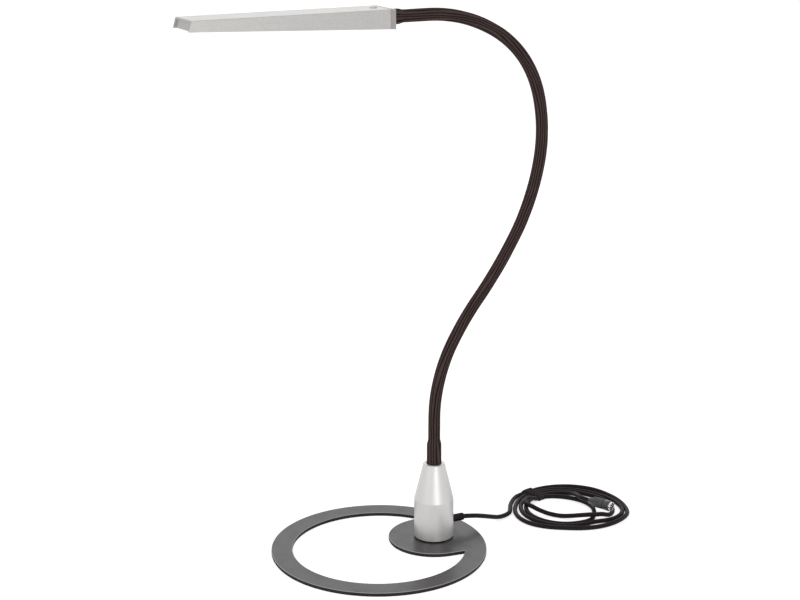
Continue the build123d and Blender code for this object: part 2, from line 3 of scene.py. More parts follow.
import bmesh
import bpy
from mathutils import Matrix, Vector


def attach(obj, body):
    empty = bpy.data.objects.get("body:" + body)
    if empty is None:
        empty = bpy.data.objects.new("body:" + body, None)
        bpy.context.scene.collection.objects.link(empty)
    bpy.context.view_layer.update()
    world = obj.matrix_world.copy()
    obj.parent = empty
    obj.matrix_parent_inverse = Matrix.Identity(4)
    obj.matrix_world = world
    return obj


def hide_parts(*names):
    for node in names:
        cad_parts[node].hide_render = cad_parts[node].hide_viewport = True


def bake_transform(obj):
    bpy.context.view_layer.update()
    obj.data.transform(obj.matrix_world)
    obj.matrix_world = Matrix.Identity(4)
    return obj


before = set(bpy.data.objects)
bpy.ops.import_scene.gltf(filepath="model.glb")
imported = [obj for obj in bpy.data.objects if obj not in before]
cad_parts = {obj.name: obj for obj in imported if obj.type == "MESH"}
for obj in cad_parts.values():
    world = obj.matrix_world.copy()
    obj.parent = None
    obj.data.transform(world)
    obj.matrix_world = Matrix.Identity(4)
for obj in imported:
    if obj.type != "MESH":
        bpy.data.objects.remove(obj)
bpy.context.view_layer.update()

# Table lamp with a flexible arm. Metres, +Z up. The column's axis stands on the origin, the arm bends over
# in the XZ plane and the head points to -X.

# Camera
camera_place = (-0.73278, -1.38953, 0.68854)
camera_way = (0.43076447, 0.86206256, -0.2670021)
camera_lens = 74.67
camera_sensor = 36.0

# Arm: each link is an arc. Its length, and how far it turns over towards +X in degrees
column_top = 0.083
link_lengths = [0.047, 0.080, 0.050, 0.069, 0.084, 0.067, 0.083, 0.076, 0.044]
link_bends = [0, 29, 10, -8.5, -20.5, -25, -46, -29.5, 0]
arm_length = sum(link_lengths)
end_reach = 0.022

# Sleeve over the arm, stretched over a crimped tube at each end
sleeve_radius = 0.00612
sleeve_rib_count = 13
sleeve_rib_depth = 0.0013
sleeve_rib_wander = 7.0
rib_wander_length = 0.045
rib_sharpness = 0.6
sleeve_bulge_radius = 0.0074
sleeve_in_mouth = 0.0125
foot_bulge_end = 0.0195
head_bulge_start = arm_length - 0.0118
bulge_taper = 0.0065
head_face = arm_length - 0.0005
end_band_shape = [(-1.3, 5.5), (-1.3, 7.5), (-1, 7.7), (-0.2, 7.7), (0.1, 7.5), (0.1, 5.5)]

# Gooseneck and cable inside the sleeve
gooseneck_radius = 0.0046
gooseneck_start = -0.026
gooseneck_end = arm_length + 0.0076
cable_radius = 0.002
cable_start = -0.033
cable_end = arm_length + 0.028
seam_distance = 0.000005

# Free cord: listed points from the boot to the coil, and from the coil to the connector
cord_diameter = 0.0048
cord_exit = (0.034, 0, 0.0186)
lead_points = [
    (0.047, 0, 0.0168),
    (0.06, 0.0025, 0.0128),
    (0.072, 0.007, 0.008),
    (0.083, 0.0116, 0.0036),
    (0.094, 0.0156, 0.0024),
    (0.102, 0.0205, 0.0024),
    (0.107, 0.0285, 0.0024),
    (0.113, 0.0385, 0.0024),
    (0.1235, 0.05, 0.0024),
]
lead_last_run = 0.015
tail_points = [
    (0.1716, 0.0452, 0.0024),
    (0.1788, 0.0412, 0.003),
    (0.1834, 0.0344, 0.0042),
    (0.185, 0.0264, 0.0061),
    (0.1836, 0.0186, 0.0083),
    (0.1812, 0.0105, 0.0098),
    (0.1807, 0.0013, 0.0107),
]
plug_start = Vector((0.184, -0.006, 0.0107))
plug_heading = -65.5

# Coil: places along the cord, each with its turn clockwise from the tie in degrees, its distance from the
# coil's middle in millimetres, and how far it is lifted over another cord, from 0 to 1
coil_middle = (0.161, 0.002)
tie_angle = 100
coil_places = [
    (0, 60, 0),
    (45, 64, 0),
    (70, 64, 0),
    (90, 62.2, 0),
    (120, 62.8, 0),
    (138, 64.4, 0),
    (156, 61, 0),
    (180, 57, 0),
    (202, 53.6, 0),
    (225, 51.8, 0),
    (270, 58, 0),
    (315, 54.4, 0),
    (338, 54.6, 0),
    (360, 55.3, 0),
    (405, 54.7, 0),
    (430, 53, 0),
    (450, 55, 0),
    (472, 57.8, 0),
    (495, 59, 0),
    (518, 53.5, 0),
    (540, 43.9, 0),
    (562, 44.6, 0),
    (585, 46.7, 0),
    (630, 48.2, 0),
    (675, 48.9, 0),
    (720, 50.4, 0),
    (765, 49.2, 0),
    (790, 47.4, 0),
    (810, 49, 0),
    (855, 48.6, 0),
    (870, 47.2, 0.15),
    (885, 43.3, 1),
    (900, 35.5, 1),
    (915, 29.3, 0.75),
    (930, 24.8, 0.4),
    (945, 22.2, 0.15),
    (960, 21.4, 0),
    (975, 22.4, 0),
    (990, 26.2, 0.2),
    (1005, 32, 0.6),
    (1018, 38, 1),
    (1035, 45, 1),
    (1050, 42, 1),
    (1060, 40.2, 0.5),
    (1070, 40, 0),
    (1080, 40, 0),
    (1125, 31.2, 0),
    (1170, 27.8, 0),
    (1215, 28.8, 0),
    (1230, 30.6, 0),
    (1245, 33.7, 0),
    (1260, 37.6, 0),
    (1282, 39.4, 0),
    (1305, 41.4, 0),
    (1350, 42.9, 0),
    (1395, 43.3, 0),
    (1415, 44.2, 0),
    (1435, 45.2, 0),
]
coil_climb = 0.0052
point_turn = 8
end_run = 0.005

# Wrap round the bundle, just before the tie's end
wrap_first = 97.5
wrap_last = 109.5
wrap_inner = 0.0372
wrap_outer = 0.0630
wrap_top = 0.0053
wrap_low = 0.0001
wrap_corner = 0.0024
wrap_lump = 0.0011
wrap_lump_place = 0.0602
wrap_lump_pitch = 0.0049
wrap_swell = 0.0002
wrap_foot_inset = 0.0002
wrap_thickness = 0.0008

# Connector, along its axis and outwards in millimetres
plug_tail_shape = [(0, 0), (0, 2.9), (0.8, 3.2), (5.2, 3.8), (5.2, 0)]
plug_grip_shape = [
    (5, 0),
    (5, 4.5),
    (5.7, 5.2),
    (6.5, 5.4),
    (17.6, 5.4),
    (18.4, 5.2),
    (18.4, 4.6),
    (19.6, 4.6),
    (19.6, 5.4),
    (20, 5.6),
    (25.5, 5.6),
    (26, 5.2),
    (26, 0),
]
plug_ring_shape = [(25.9, 3.8), (25.9, 4.6), (28.2, 4.6), (28.4, 4.4), (28.4, 4), (28.2, 3.8)]
plug_inner_shape = [(25.9, 0), (25.9, 3.9), (27, 3.9), (27, 0)]
contact_shape = [(26.8, 0), (26.8, 0.6), (28, 0.6), (28.2, 0.3), (28.2, 0)]
contact_places = [(0, 0), (2.3, 20), (2.3, 92), (2.3, 164), (2.3, 236), (2.3, 308)]
grip_ridges = 14
ridge_depth = 0.7

# Cord's boot at the column
boot_shape = [
    (15, 0),
    (15, 3.7),
    (21.6, 3.7),
    (21.8, 3.95),
    (33.6, 3.75),
    (34, 3.4),
    (34, 0),
]
boot_grooves = [24.2, 26.6, 29, 31.4]
boot_groove_shape = [(0, 3.9), (0.15, 3.3), (1.05, 3.3), (1.2, 3.85)]

# Light and floor
floor_reach = 12
world_level = 0.50
floor_white = 0.80
floor_glow = 0.68


# Camera
def make_camera():
    """Camera at the photograph's viewing angle."""
    data = bpy.data.cameras.new("camera")
    data.lens = camera_lens
    data.sensor_width = camera_sensor
    camera = bpy.data.objects.new("camera", data)
    bpy.context.scene.collection.objects.link(camera)
    camera.location = camera_place
    camera.rotation_mode = "QUATERNION"
    camera.rotation_quaternion = Vector(camera_way).to_track_quat("-Z", "Y")
    bpy.context.scene.camera = camera


make_camera()


# Building blocks for node trees
def node(tree, kind, inputs=None, **settings):
    """New node with its settings, and its inputs linked or set by name or number."""
    made = tree.nodes.new(kind)
    for key, value in settings.items():
        setattr(made, key, value)
    for key, value in (inputs or {}).items():
        if isinstance(value, bpy.types.NodeSocket):
            tree.links.new(value, made.inputs[key])
        else:
            made.inputs[key].default_value = value
    return made


def calc(tree, operation, *values, clamp=False):
    """Output of a math node in a shader or geometry tree."""
    inputs = dict(enumerate(values))
    return node(tree, "ShaderNodeMath", inputs, operation=operation, use_clamp=clamp).outputs[0]


def vector_calc(tree, operation, a, b=None):
    """Output of a vector math node. A scale's factor is its fourth input."""
    inputs = {0: a}
    if b is not None:
        inputs[3 if operation == "SCALE" else 1] = b
    made = node(tree, "ShaderNodeVectorMath", inputs, operation=operation)
    return made.outputs[1 if operation in ("DOT_PRODUCT", "LENGTH") else 0]


def join(tree, x=0.0, y=0.0, z=0.0):
    """Vector from three values."""
    return node(tree, "ShaderNodeCombineXYZ", {0: x, 1: y, 2: z}).outputs[0]


def sockets(tree, ways):
    """Named inputs and outputs of a node group: (name, way, kind, default)."""
    for name, way, kind, default in ways:
        made = tree.interface.new_socket(name, in_out=way, socket_type="NodeSocket" + kind)
        if default is not None:
            made.default_value = default


def linear(colour):
    """Linear colour from 0 to 255 screen values."""
    parts = []
    for c in colour:
        v = c / 255
        parts.append(v / 12.92 if v <= 0.04045 else ((v + 0.055) / 1.055) ** 2.4)
    return (*parts, 1.0)


# Shared effects
def grain_group():
    """Uneven tone and a fine pebbled height, of a size in metres."""
    tree = bpy.data.node_groups.new("fine_grain", "ShaderNodeTree")
    sockets(
        tree,
        [
            ("Vector", "INPUT", "Vector", None),
            ("Grain Size", "INPUT", "Float", 0.0005),
            ("Patch Size", "INPUT", "Float", 0.02),
            ("Tone", "OUTPUT", "Float", None),
            ("Height", "OUTPUT", "Float", None),
        ],
    )
    start = tree.nodes.new("NodeGroupInput")
    fine_scale = calc(tree, "DIVIDE", 1.0, start.outputs["Grain Size"])
    fine_at = vector_calc(tree, "SCALE", start.outputs["Vector"], fine_scale)
    fine = node(tree, "ShaderNodeTexNoise", {"Vector": fine_at, "Scale": 1.0, "Detail": 2.0})
    wide_scale = calc(tree, "DIVIDE", 1.0, start.outputs["Patch Size"])
    wide_at = vector_calc(tree, "SCALE", start.outputs["Vector"], wide_scale)
    wide = node(tree, "ShaderNodeTexNoise", {"Vector": wide_at, "Scale": 1.0, "Detail": 3.0})
    speckle = calc(tree, "MULTIPLY", fine.outputs[0], 0.45)
    tone = calc(tree, "MULTIPLY_ADD", wide.outputs[0], 0.55, speckle)
    node(tree, "NodeGroupOutput", {"Tone": tone, "Height": fine.outputs[0]})
    return tree


def brush_group():
    """Fine lines from brushing or turning, with their size in metres along each axis."""
    tree = bpy.data.node_groups.new("brushed_lines", "ShaderNodeTree")
    sockets(
        tree,
        [
            ("Vector", "INPUT", "Vector", None),
            ("Line Size", "INPUT", "Vector", None),
            ("Uneven", "INPUT", "Float", 0.3),
            ("Lines", "OUTPUT", "Float", None),
        ],
    )
    start = tree.nodes.new("NodeGroupInput")
    at = vector_calc(tree, "DIVIDE", start.outputs["Vector"], start.outputs["Line Size"])
    lines = node(tree, "ShaderNodeTexNoise", {"Vector": at, "Scale": 1.0, "Detail": 4.0, "Roughness": 0.7})
    slow_at = vector_calc(tree, "SCALE", at, 0.17)
    slow = node(tree, "ShaderNodeTexNoise", {"Vector": slow_at, "Scale": 1.0, "Detail": 1.0})
    shift = calc(tree, "MULTIPLY", calc(tree, "SUBTRACT", slow.outputs[0], 0.5), start.outputs["Uneven"])
    node(tree, "NodeGroupOutput", {"Lines": calc(tree, "ADD", lines.outputs[0], shift)})
    return tree


def braid_group():
    """Braided yarns that cross each other on a tube: U runs once round it, V along it in metres."""
    tree = bpy.data.node_groups.new("braid", "ShaderNodeTree")
    sockets(
        tree,
        [
            ("UV", "INPUT", "Vector", None),
            ("Yarns", "INPUT", "Float", 26.0),
            ("Pitch", "INPUT", "Float", 0.0015),
            ("Height", "OUTPUT", "Float", None),
            ("Over", "OUTPUT", "Float", None),
        ],
    )
    start = tree.nodes.new("NodeGroupInput")
    split = node(tree, "ShaderNodeSeparateXYZ", {0: start.outputs["UV"]})
    around = calc(tree, "MULTIPLY", split.outputs[0], start.outputs["Yarns"])
    along = calc(tree, "DIVIDE", split.outputs[1], start.outputs["Pitch"])
    p = calc(tree, "ADD", calc(tree, "ADD", around, along), 1000.0)
    q = calc(tree, "ADD", calc(tree, "SUBTRACT", around, along), 2000.0)
    arch_p = calc(tree, "SINE", calc(tree, "MULTIPLY", calc(tree, "FRACT", p), math.pi))
    arch_q = calc(tree, "SINE", calc(tree, "MULTIPLY", calc(tree, "FRACT", q), math.pi))
    cells = calc(tree, "ADD", calc(tree, "FLOOR", p), calc(tree, "FLOOR", q))
    over = calc(tree, "MODULO", cells, 2.0)
    rise_p = calc(tree, "MULTIPLY", arch_q, calc(tree, "MULTIPLY_ADD", arch_p, 0.5, 0.5))
    rise_q = calc(tree, "MULTIPLY", arch_p, calc(tree, "MULTIPLY_ADD", arch_q, 0.5, 0.5))
    height = node(tree, "ShaderNodeMix", {0: over, 2: rise_p, 3: rise_q}, data_type="FLOAT").outputs[0]
    node(tree, "NodeGroupOutput", {"Height": height, "Over": over})
    return tree


def dust_group():
    """Sparse soft marks: dust, smudges and light wear."""
    tree = bpy.data.node_groups.new("dust_and_wear", "ShaderNodeTree")
    sockets(
        tree,
        [
            ("Vector", "INPUT", "Vector", None),
            ("Size", "INPUT", "Float", 0.01),
            ("Amount", "INPUT", "Float", 0.3),
            ("Mask", "OUTPUT", "Float", None),
        ],
    )
    start = tree.nodes.new("NodeGroupInput")
    scale = calc(tree, "DIVIDE", 1.0, start.outputs["Size"])
    at = vector_calc(tree, "SCALE", start.outputs["Vector"], scale)
    marks = node(tree, "ShaderNodeTexNoise", {"Vector": at, "Scale": 1.0, "Detail": 6.0, "Roughness": 0.65})
    high = calc(tree, "MULTIPLY", calc(tree, "SUBTRACT", marks.outputs[0], 0.5), 4.0, clamp=True)
    node(tree, "NodeGroupOutput", {"Mask": calc(tree, "MULTIPLY", high, start.outputs["Amount"])})
    return tree


fine_grain = grain_group()
brushed_lines = brush_group()
braid = braid_group()
dust_and_wear = dust_group()


# Materials
def place_group(tree, group, inputs):
    """Node group placed in a material with its own values."""
    made = tree.nodes.new("ShaderNodeGroup")
    made.node_tree = group
    for key, value in inputs.items():
        if isinstance(value, bpy.types.NodeSocket):
            tree.links.new(value, made.inputs[key])
        else:
            made.inputs[key].default_value = value
    return made


def blend_colour(tree, share, low, high):
    """Colour between two others."""
    made = node(tree, "ShaderNodeMix", {0: share, 6: low, 7: high}, data_type="RGBA")
    return made.outputs[2]


def spread(tree, value, low, high):
    """Value from 0 to 1 brought between two others."""
    return node(tree, "ShaderNodeMapRange", {0: value, 1: 0.25, 2: 0.75, 3: low, 4: high}).outputs[0]


def bare_material(name):
    """Material with its tree, shader and object coordinates."""
    material = bpy.data.materials.new(name)
    material.use_nodes = True
    tree = material.node_tree
    shader = tree.nodes["Principled BSDF"]
    where = tree.nodes.new("ShaderNodeTexCoord").outputs["Object"]
    return material, tree, shader, where


def bumped(tree, shader, height, distance, strength=1.0):
    """Surface relief from a height."""
    bump = node(tree, "ShaderNodeBump", {"Height": height, "Distance": distance, "Strength": strength})
    tree.links.new(bump.outputs[0], shader.inputs["Normal"])


def plain_finish(name, dark, light, roughness, size=0.0005, patch=0.02, relief=0.00004, values=None):
    """Moulded, painted or plain metal finish: uneven tone, fine grain and a little dust."""
    material, tree, shader, where = bare_material(name)
    grain = place_group(tree, fine_grain, {"Vector": where, "Grain Size": size, "Patch Size": patch})
    colour = blend_colour(tree, grain.outputs["Tone"], linear(dark), linear(light))
    tree.links.new(colour, shader.inputs["Base Color"])
    marks = place_group(tree, dust_and_wear, {"Vector": where, "Size": patch / 2, "Amount": 0.10})
    rough = calc(tree, "ADD", spread(tree, grain.outputs["Tone"], *roughness), marks.outputs["Mask"])
    tree.links.new(rough, shader.inputs["Roughness"])
    bumped(tree, shader, grain.outputs["Height"], relief)
    for key, value in (values or {}).items():
        shader.inputs[key].default_value = value
    return material


def brushed_finish(name, dark, light, roughness, line_size, uneven, relief, metallic=1.0):
    """Brushed or turned bare metal."""
    material, tree, shader, where = bare_material(name)
    inputs = {"Vector": where, "Line Size": line_size, "Uneven": uneven}
    lines = place_group(tree, brushed_lines, inputs).outputs["Lines"]
    colour = blend_colour(tree, spread(tree, lines, 0.0, 1.0), linear(dark), linear(light))
    tree.links.new(colour, shader.inputs["Base Color"])
    marks = place_group(tree, dust_and_wear, {"Vector": where, "Size": 0.012, "Amount": 0.06})
    rough = calc(tree, "ADD", spread(tree, lines, *roughness), marks.outputs["Mask"])
    tree.links.new(rough, shader.inputs["Roughness"])
    shader.inputs["Metallic"].default_value = metallic
    bumped(tree, shader, lines, relief)
    return material


def plate_finish():
    """Dark painted steel, with painted shade that makes its sides near-black and a painted highlight as a
    bright line along its bevelled edges.
    """
    material, tree, shader, where = bare_material("plate_steel")
    grain = place_group(tree, fine_grain, {"Vector": where, "Grain Size": 0.0004, "Patch Size": 0.03})
    top = blend_colour(tree, grain.outputs["Tone"], linear((40, 36, 39)), linear((54, 50, 53)))
    normal = tree.nodes.new("ShaderNodeNewGeometry").outputs["True Normal"]
    lean = calc(tree, "ABSOLUTE", node(tree, "ShaderNodeSeparateXYZ", {0: normal}).outputs[2])
    sides = calc(tree, "LESS_THAN", lean, 0.3)
    bevel_highlight = calc(tree, "COMPARE", lean, 0.7, 0.25)
    # Painted shade: upright side faces get a near-black colour.
    colour = blend_colour(tree, sides, top, linear((8, 7, 8)))
    # Painted highlight: bevelled faces get a pale colour, a bright line along the edges.
    colour = blend_colour(tree, bevel_highlight, colour, linear((176, 173, 172)))
    tree.links.new(colour, shader.inputs["Base Color"])
    marks = place_group(tree, dust_and_wear, {"Vector": where, "Size": 0.015, "Amount": 0.10})
    rough = calc(tree, "ADD", spread(tree, grain.outputs["Tone"], 0.28, 0.36), marks.outputs["Mask"])
    tree.links.new(calc(tree, "MULTIPLY_ADD", sides, 0.5, rough), shader.inputs["Roughness"])
    bumped(tree, shader, grain.outputs["Height"], 0.00002)
    return material


def sleeve_finish():
    """Dark braided sleeve: brown yarns with painted shade, darker where they dip and lighter on their
    crowns, and painted shade that darkens the grooves between its ribs.
    """
    material, tree, shader, where = bare_material("sleeve")
    uv = node(tree, "ShaderNodeUVMap", uv_map="UVMap").outputs[0]
    weave = place_group(tree, braid, {"UV": uv, "Yarns": 26.0, "Pitch": 0.0015})
    groove = node(tree, "ShaderNodeAttribute", attribute_name="groove").outputs["Fac"]
    grain = place_group(tree, fine_grain, {"Vector": where, "Grain Size": 0.0004, "Patch Size": 0.018})
    speckle = calc(tree, "MULTIPLY", grain.outputs["Tone"], 0.5)
    # Painted shade: yarn colour follows the braid's height, darker where the yarns dip and lighter on their
    # crowns, plus random speckle.
    yarn = calc(tree, "MULTIPLY_ADD", weave.outputs["Height"], 0.6, speckle)
    crown = blend_colour(tree, yarn, linear((28, 19, 19)), linear((108, 88, 84)))
    # Painted shade: the grooves between the ribs are darkened almost to black.
    dark = calc(tree, "MULTIPLY", groove, 1.45, clamp=True)
    colour = blend_colour(tree, dark, crown, linear((6, 3, 4)))
    tree.links.new(colour, shader.inputs["Base Color"])
    rough = calc(tree, "MULTIPLY_ADD", weave.outputs["Over"], 0.1, 0.6)
    tree.links.new(rough, shader.inputs["Roughness"])
    shader.inputs["Specular IOR Level"].default_value = 0.1
    bumped(tree, shader, weave.outputs["Height"], 0.00022)
    return material


def gooseneck_finish():
    """Wound steel tube: a close helix of round wire, with painted shade between its turns."""
    material, tree, shader, where = bare_material("gooseneck")
    uv = node(tree, "ShaderNodeUVMap", uv_map="UVMap").outputs[0]
    split = node(tree, "ShaderNodeSeparateXYZ", {0: uv})
    turn = calc(tree, "ADD", split.outputs[0], calc(tree, "DIVIDE", split.outputs[1], 0.0018))
    wire = calc(tree, "ABSOLUTE", calc(tree, "SINE", calc(tree, "MULTIPLY", turn, math.pi)))
    # Painted shade: colour follows the wire's profile, dark between the turns and light on their tops.
    colour = blend_colour(tree, wire, linear((60, 60, 62)), linear((170, 170, 172)))
    tree.links.new(colour, shader.inputs["Base Color"])
    shader.inputs["Metallic"].default_value = 1.0
    shader.inputs["Roughness"].default_value = 0.4
    bumped(tree, shader, wire, 0.0006)
    return material


def diffuser_finish():
    """Milky plastic with a fine stipple."""
    dark = (226, 226, 222)
    light = (238, 238, 235)
    material = plain_finish("diffuser_plastic", dark, light, (0.42, 0.5), 0.0008, 0.05, 0.00005)
    shader = material.node_tree.nodes["Principled BSDF"]
    shader.inputs["Transmission Weight"].default_value = 0.25
    return material


bare_metal = {"Metallic": 1.0}
low_gloss = {"Specular IOR Level": 0.22}
finishes = {
    "plate_steel": plate_finish(),
    "liner": plain_finish(
        "liner", (14, 13, 13), (26, 24, 24), (0.8, 0.9), 0.0006, 0.02, 0.0001, low_gloss
    ),
    "column_metal": brushed_finish(
        "column_metal",
        (210, 208, 206),
        (217, 215, 213),
        (0.40, 0.45),
        (0.5, 0.5, 0.0002),
        0.0,
        0.000004,
        0.65,
    ),
    "black_plastic": plain_finish(
        "black_plastic", (14, 13, 13), (28, 26, 26), (0.5, 0.6), values=low_gloss
    ),
    "screw_steel": plain_finish(
        "screw_steel", (120, 120, 122), (150, 150, 150), (0.3, 0.4), values=bare_metal
    ),
    "sleeve_end": plain_finish("sleeve_end", (12, 9, 9), (24, 19, 19), (0.6, 0.7), values=low_gloss),
    "sleeve": sleeve_finish(),
    "gooseneck": gooseneck_finish(),
    "boot_rubber": plain_finish(
        "boot_rubber", (14, 12, 13), (28, 25, 26), (0.5, 0.62), 0.0004, 0.01, 0.00005, low_gloss
    ),
    "cord_jacket": plain_finish(
        "cord_jacket",
        (24, 16, 19),
        (38, 29, 32),
        (0.36, 0.46),
        0.0005,
        0.02,
        0.00004,
        {"Specular IOR Level": 0.1},
    ),
    "head_metal": brushed_finish(
        "head_metal",
        (170, 168, 166),
        (190, 188, 186),
        (0.38, 0.48),
        (0.003, 0.0007, 0.0007),
        0.1,
        0.00001,
        0.8,
    ),
    "cap_metal": brushed_finish(
        "cap_metal",
        (140, 137, 135),
        (160, 158, 156),
        (0.36, 0.46),
        (0.0006, 0.004, 0.0006),
        0.1,
        0.000008,
    ),
    "diffuser_plastic": diffuser_finish(),
    "board": plain_finish("board", (214, 214, 212), (230, 230, 228), (0.4, 0.5)),
    "led_lens": plain_finish("led_lens", (226, 196, 84), (242, 218, 120), (0.15, 0.25)),
    "heat_metal": brushed_finish(
        "heat_metal", (170, 170, 170), (200, 200, 200), (0.35, 0.45), (0.02, 0.001, 0.001), 0.4, 0.00002
    ),
    "button_plastic": plain_finish("button_plastic", (216, 214, 211), (226, 224, 221), (0.4, 0.5)),
    "spring_steel": plain_finish(
        "spring_steel", (150, 150, 152), (176, 176, 176), (0.3, 0.4), values=bare_metal
    ),
    "tie_plastic": plain_finish(
        "tie_plastic", (22, 16, 17), (58, 48, 48), (0.6, 0.75), 0.0011, 0.004, 0.0003, low_gloss
    ),
    "plug_plastic": plain_finish(
        "plug_plastic",
        (34, 32, 34),
        (54, 52, 54),
        (0.24, 0.34),
        0.0004,
        0.01,
        0.00003,
        {"Specular IOR Level": 0.7},
    ),
    "plug_metal": plain_finish(
        "plug_metal", (214, 212, 208), (230, 228, 224), (0.2, 0.3), values=bare_metal
    ),
    "pin_brass": plain_finish(
        "pin_brass", (214, 208, 196), (236, 230, 220), (0.25, 0.35), values=bare_metal
    ),
}


def dress_cad_nodes():
    """Every node of the frame gets the finish of its slot."""
    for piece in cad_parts.values():
        for slot in piece.material_slots:
            slot.material = finishes[slot.material.name.split(".")[0]]


dress_cad_nodes()


def keep(name, mesh, slot):
    """Finished piece from a mesh, with its material."""
    piece = bpy.data.objects.new(name, mesh)
    bpy.context.scene.collection.objects.link(piece)
    if not mesh.materials:
        mesh.materials.append(finishes[slot])
    return piece


# Free cord
def coil_point(turn, distance, height):
    """Point at this turn clockwise from the tie."""
    a = math.radians(tie_angle - turn)
    x = coil_middle[0] + distance * math.cos(a)
    y = coil_middle[1] + distance * math.sin(a)
    return Vector((x, y, height))


def coil_heading(turn, outwards):
    """Way the cord heads at this turn clockwise from the tie, turned outwards by an angle."""
    a = math.radians(tie_angle - turn - 90) + outwards
    return Vector((math.cos(a), math.sin(a), 0))


def coil_slope(k):
    """Change of distance with each radian of turn at a place in the coil."""
    before = coil_places[max(0, k - 1)]
    after = coil_places[min(len(coil_places) - 1, k + 1)]
    return (after[1] - before[1]) / 1000 / math.radians(after[0] - before[0])


def coil_points():
    """Points through the coil, easing from each place to the next."""
    points = []
    for k in range(len(coil_places) - 1):
        turn0, d0, lift0 = coil_places[k]
        turn1, d1, lift1 = coil_places[k + 1]
        span = math.radians(turn1 - turn0)
        count = max(1, round((turn1 - turn0) / point_turn))
        for j in range(count):
            t = j / count
            ease = t * t * (3 - 2 * t)
            bow = t * (1 - t) * ((1 - t) * coil_slope(k) - t * coil_slope(k + 1)) * span
            distance = (d0 + (d1 - d0) * ease) / 1000 + bow
            height = cord_diameter / 2 + coil_climb * (lift0 + (lift1 - lift0) * ease)
            points.append(coil_point(turn0 + (turn1 - turn0) * t, distance, height))
    turn, distance, lift = coil_places[-1]
    points.append(coil_point(turn, distance / 1000, cord_diameter / 2 + coil_climb * lift))
    return points


def cord_points():
    """The whole cord, from the boot to the connector."""
    coil = coil_points()
    way_in = coil_heading(0, math.atan2(coil_slope(0), coil_places[0][1] / 1000))
    way_out = coil_heading(coil_places[-1][0], 0)
    coil_start = coil[0] - way_in * end_run
    lead = [Vector(cord_exit), *(Vector(p) for p in lead_points)]
    lead += [coil_start - way_in * lead_last_run, coil_start]
    tail = [coil[-1] + way_out * end_run, *(Vector(p) for p in tail_points)]
    return [*lead, *coil, *tail, plug_start]


def make_cord():
    """Round cord on one smooth spline."""
    data = bpy.data.curves.new("cord", "CURVE")
    data.dimensions = "3D"
    data.resolution_u = 8
    data.bevel_depth = cord_diameter / 2
    data.bevel_resolution = 5
    data.use_fill_caps = True
    points = cord_points()
    spline = data.splines.new("NURBS")
    spline.points.add(len(points) - 1)
    for made, point in zip(spline.points, points):
        made.co = (*point, 1.0)
    spline.order_u = 3
    spline.use_endpoint_u = True
    data.materials.append(finishes["cord_jacket"])
    cord = bpy.data.objects.new("cord", data)
    bpy.context.scene.collection.objects.link(cord)
    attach(cord, "base")
    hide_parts("cord_lead", "cord_coil", "cord_tail")
    return cord


cord = make_cord()


# Turned and wrapped pieces
def turned_shape(start, axis, profile, sides=64, ridges=0, depth=0.0, ridged=(0, 0)):
    """Points and faces of a profile turned about an axis: (along, outwards) in millimetres."""
    side = axis.orthogonal().normalized()
    up = axis.cross(side)
    points = []
    rings = []
    for along, radius in profile:
        first = len(points)
        centre = start + axis * (along / 1000)
        if radius == 0:
            points.append(centre)
            rings.append([first] * sides)
            continue
        for k in range(sides):
            a = 2 * math.pi * k / sides
            sunk = depth * (0.5 - 0.5 * math.cos(ridges * a)) if ridged[0] <= along <= ridged[1] else 0
            out = side * math.cos(a) + up * math.sin(a)
            points.append(centre + out * ((radius - sunk) / 1000))
        rings.append(list(range(first, first + sides)))
    if profile[0][1]:
        rings.append(rings[0])
    faces = []
    for low, high in zip(rings, rings[1:]):
        for k in range(sides):
            corners = [low[k], low[(k + 1) % sides], high[(k + 1) % sides], high[k]]
            faces.append(list(dict.fromkeys(corners)))
    return points, faces


def shaped(name, slot, shapes, angle=35):
    """Finished piece from one or more sets of points and faces, facing outwards."""
    shaper = bmesh.new()
    for points, faces in shapes:
        made = [shaper.verts.new(p) for p in points]
        for face in faces:
            shaper.faces.new([made[i] for i in face])
    bmesh.ops.recalc_face_normals(shaper, faces=shaper.faces)
    mesh = bpy.data.meshes.new(name)
    shaper.to_mesh(mesh)
    shaper.free()
    mesh.shade_smooth()
    mesh.set_sharp_from_angle(angle=math.radians(angle))
    return keep(name, mesh, slot)


def make_connector():
    """Round connector: ribbed grip, dark collar, bright ring and contacts in a black insert."""
    a = math.radians(plug_heading)
    axis = Vector((math.cos(a), math.sin(a), 0))
    side = axis.cross(Vector((0, 0, 1)))
    tail = shaped("connector_tail", "plug_plastic", [turned_shape(plug_start, axis, plug_tail_shape)])
    grip = turned_shape(plug_start, axis, plug_grip_shape, 216, grip_ridges, ridge_depth, (6, 18))
    grip = shaped("connector_grip", "plug_plastic", [grip])
    ring = shaped("connector_ring", "plug_metal", [turned_shape(plug_start, axis, plug_ring_shape)])
    inner = shaped("connector_insert", "liner", [turned_shape(plug_start, axis, plug_inner_shape)])
    contacts = []
    for radius, angle in contact_places:
        out = side * math.cos(math.radians(angle)) + Vector((0, 0, 1)) * math.sin(math.radians(angle))
        contacts.append(turned_shape(plug_start + out * (radius / 1000), axis, contact_shape, 16))
    contacts = shaped("connector_contacts", "pin_brass", contacts)
    replaced = [(tail, "plug_boot"), (grip, "plug_body"), (ring, "plug_shell")]
    replaced += [(inner, "plug_insert"), (contacts, "plug_pins")]
    for piece, node_name in replaced:
        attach(piece, "base")
        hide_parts(node_name)
    return [piece for piece, node_name in replaced]


